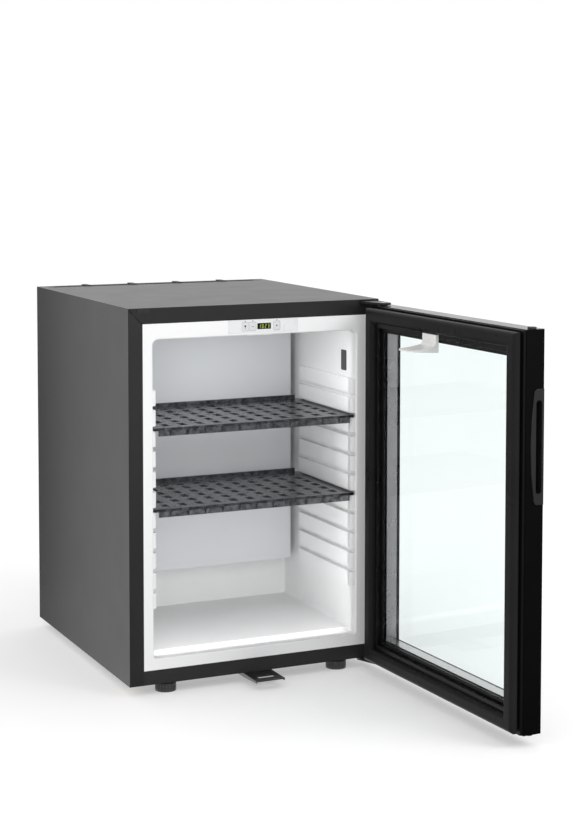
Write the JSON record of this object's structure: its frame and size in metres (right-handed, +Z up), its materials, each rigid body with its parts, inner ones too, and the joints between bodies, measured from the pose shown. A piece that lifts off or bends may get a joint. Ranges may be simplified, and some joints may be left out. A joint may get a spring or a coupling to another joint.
{
  "type": "minibar fridge",
  "caption": "Compact minibar fridge with a black steel cabinet, white liner, sliding shelves and a hinged glass door with gasket, recessed grip and cam lock.",
  "frame": {"origin": "on the floor, under the middle of the cabinet", "axes": "+Z up, +X to the right seen from the front, the front faces -Y"},
  "size_m": [0.424, 0.8592, 0.5645],
  "materials": {
    "black_steel": "black powder coat, faint texture",
    "zinc_steel": "zinc-plated sheet",
    "white_liner": "glossy white moulding",
    "foam": "rigid foam",
    "black_plastic": "matte black moulding",
    "cold_grey": "pale grey coated plate",
    "aluminium": "bare aluminium",
    "panel_grey": "smooth light grey overlay",
    "display": "dark window",
    "board": "circuit board",
    "white_plastic": "white moulding",
    "lamp": "opal lens",
    "smoky_clear": "smoky clear moulding",
    "hinge_steel": "black coated steel",
    "bright_steel": "bright steel",
    "keeper_steel": "dark pressed steel",
    "unit_black": "black painted tube",
    "frame_black": "glossy black frame",
    "bead_black": "satin black bead",
    "gasket": "soft black rubber",
    "glass": "clear glass",
    "butyl": "black butyl"
  },
  "bodies": {
    "cabinet": {"absorber_coil": "unit_black", "absorber_vessel": "unit_black", "base_pan": "zinc_steel", "bottom_rail": "black_steel", "cable_gland": "black_plastic", "cold_plate": "cold_grey", "condenser_fins": "aluminium", "condenser_tube": "unit_black", "control_board": "board", "control_panel": "panel_grey", "display_window": "display", "door_switch": "white_plastic", "evaporator_fins": "aluminium", "generator_sleeve": "zinc_steel", "generator_strap": "zinc_steel", "hinge_pins": "bright_steel", "hinge_slot_plug": "black_steel", "inner_liner": "white_liner", "insulation": "foam", "lamp_lens": "lamp", "left_side_panel": "black_steel", "lock_keeper": "keeper_steel", "lower_hinge_plate": "hinge_steel", "rear_panel": "zinc_steel", "rear_vent_grille": "black_plastic", "right_side_panel": "black_steel", "solution_pipe": "unit_black", "terminal_box": "black_plastic", "terminal_lid": "black_plastic", "top_panel": "black_steel", "underside_screws": "bright_steel", "upper_hinge_plate": "hinge_steel", "vessel_cradles": "zinc_steel"},
    "door": {"door_stile_free": "frame_black", "door_stile_hinge": "frame_black", "door_rail_top": "frame_black", "door_rail_bottom": "frame_black", "outer_pane": "glass", "inner_pane": "glass", "spacer_bar": "aluminium", "edge_seal": "butyl", "glazing_bead": "bead_black", "door_gasket": "gasket", "upper_hinge_bush": "black_plastic", "lower_hinge_bush": "black_plastic", "hole_plugs": "black_plastic", "door_handle": "frame_black", "door_striker": "white_plastic"},
    "lock": {"lock_barrel": "bright_steel", "lock_cam": "bright_steel"},
    "upper_shelf": {"upper_shelf": "smoky_clear"},
    "lower_shelf": {"lower_shelf": "smoky_clear"},
    "light_button": {"light_button": "panel_grey"},
    "down_button": {"down_button": "panel_grey"},
    "up_button": {"up_button": "panel_grey"},
    "foot_front_left": {"foot_front_left": "black_plastic"},
    "foot_front_right": {"foot_front_right": "black_plastic"},
    "foot_rear_left": {"foot_rear_left": "black_plastic"},
    "foot_rear_right": {"foot_rear_right": "black_plastic"}
  },
  "joints": [
    {"name": "door_hinge", "type": "hinge", "parent": "cabinet", "child": "door", "pos_m": [0.1925, -0.2483, 0.015], "axis": [0, 0, 1], "range_deg": [-92.3, 22.7]},
    {"name": "lock_turn", "type": "hinge", "parent": "door", "child": "lock", "pos_m": [0.21491, -0.44005, 0.025], "axis": [-0.9992, -0.0401, 0], "range_deg": [0, 90]},
    {"name": "upper_shelf_slide", "type": "slide", "parent": "cabinet", "child": "upper_shelf", "axis": [0, -1, 0], "range_m": [0, 0.15]},
    {"name": "lower_shelf_slide", "type": "slide", "parent": "cabinet", "child": "lower_shelf", "axis": [0, -1, 0], "range_m": [0, 0.15]},
    {"name": "light_button_press", "type": "slide", "parent": "cabinet", "child": "light_button", "axis": [0, 1, 0], "range_m": [0, 0.0008], "stiffness_N_per_m": 400},
    {"name": "down_button_press", "type": "slide", "parent": "cabinet", "child": "down_button", "axis": [0, 1, 0], "range_m": [0, 0.0008], "stiffness_N_per_m": 400},
    {"name": "up_button_press", "type": "slide", "parent": "cabinet", "child": "up_button", "axis": [0, 1, 0], "range_m": [0, 0.0008], "stiffness_N_per_m": 400},
    {"name": "foot_front_left_level", "type": "slide", "parent": "cabinet", "child": "foot_front_left", "axis": [0, 0, 1], "range_m": [-0.01, 0]},
    {"name": "foot_front_right_level", "type": "slide", "parent": "cabinet", "child": "foot_front_right", "axis": [0, 0, 1], "range_m": [-0.01, 0]},
    {"name": "foot_rear_left_level", "type": "slide", "parent": "cabinet", "child": "foot_rear_left", "axis": [0, 0, 1], "range_m": [-0.01, 0]},
    {"name": "foot_rear_right_level", "type": "slide", "parent": "cabinet", "child": "foot_rear_right", "axis": [0, 0, 1], "range_m": [-0.01, 0]}
  ]
}
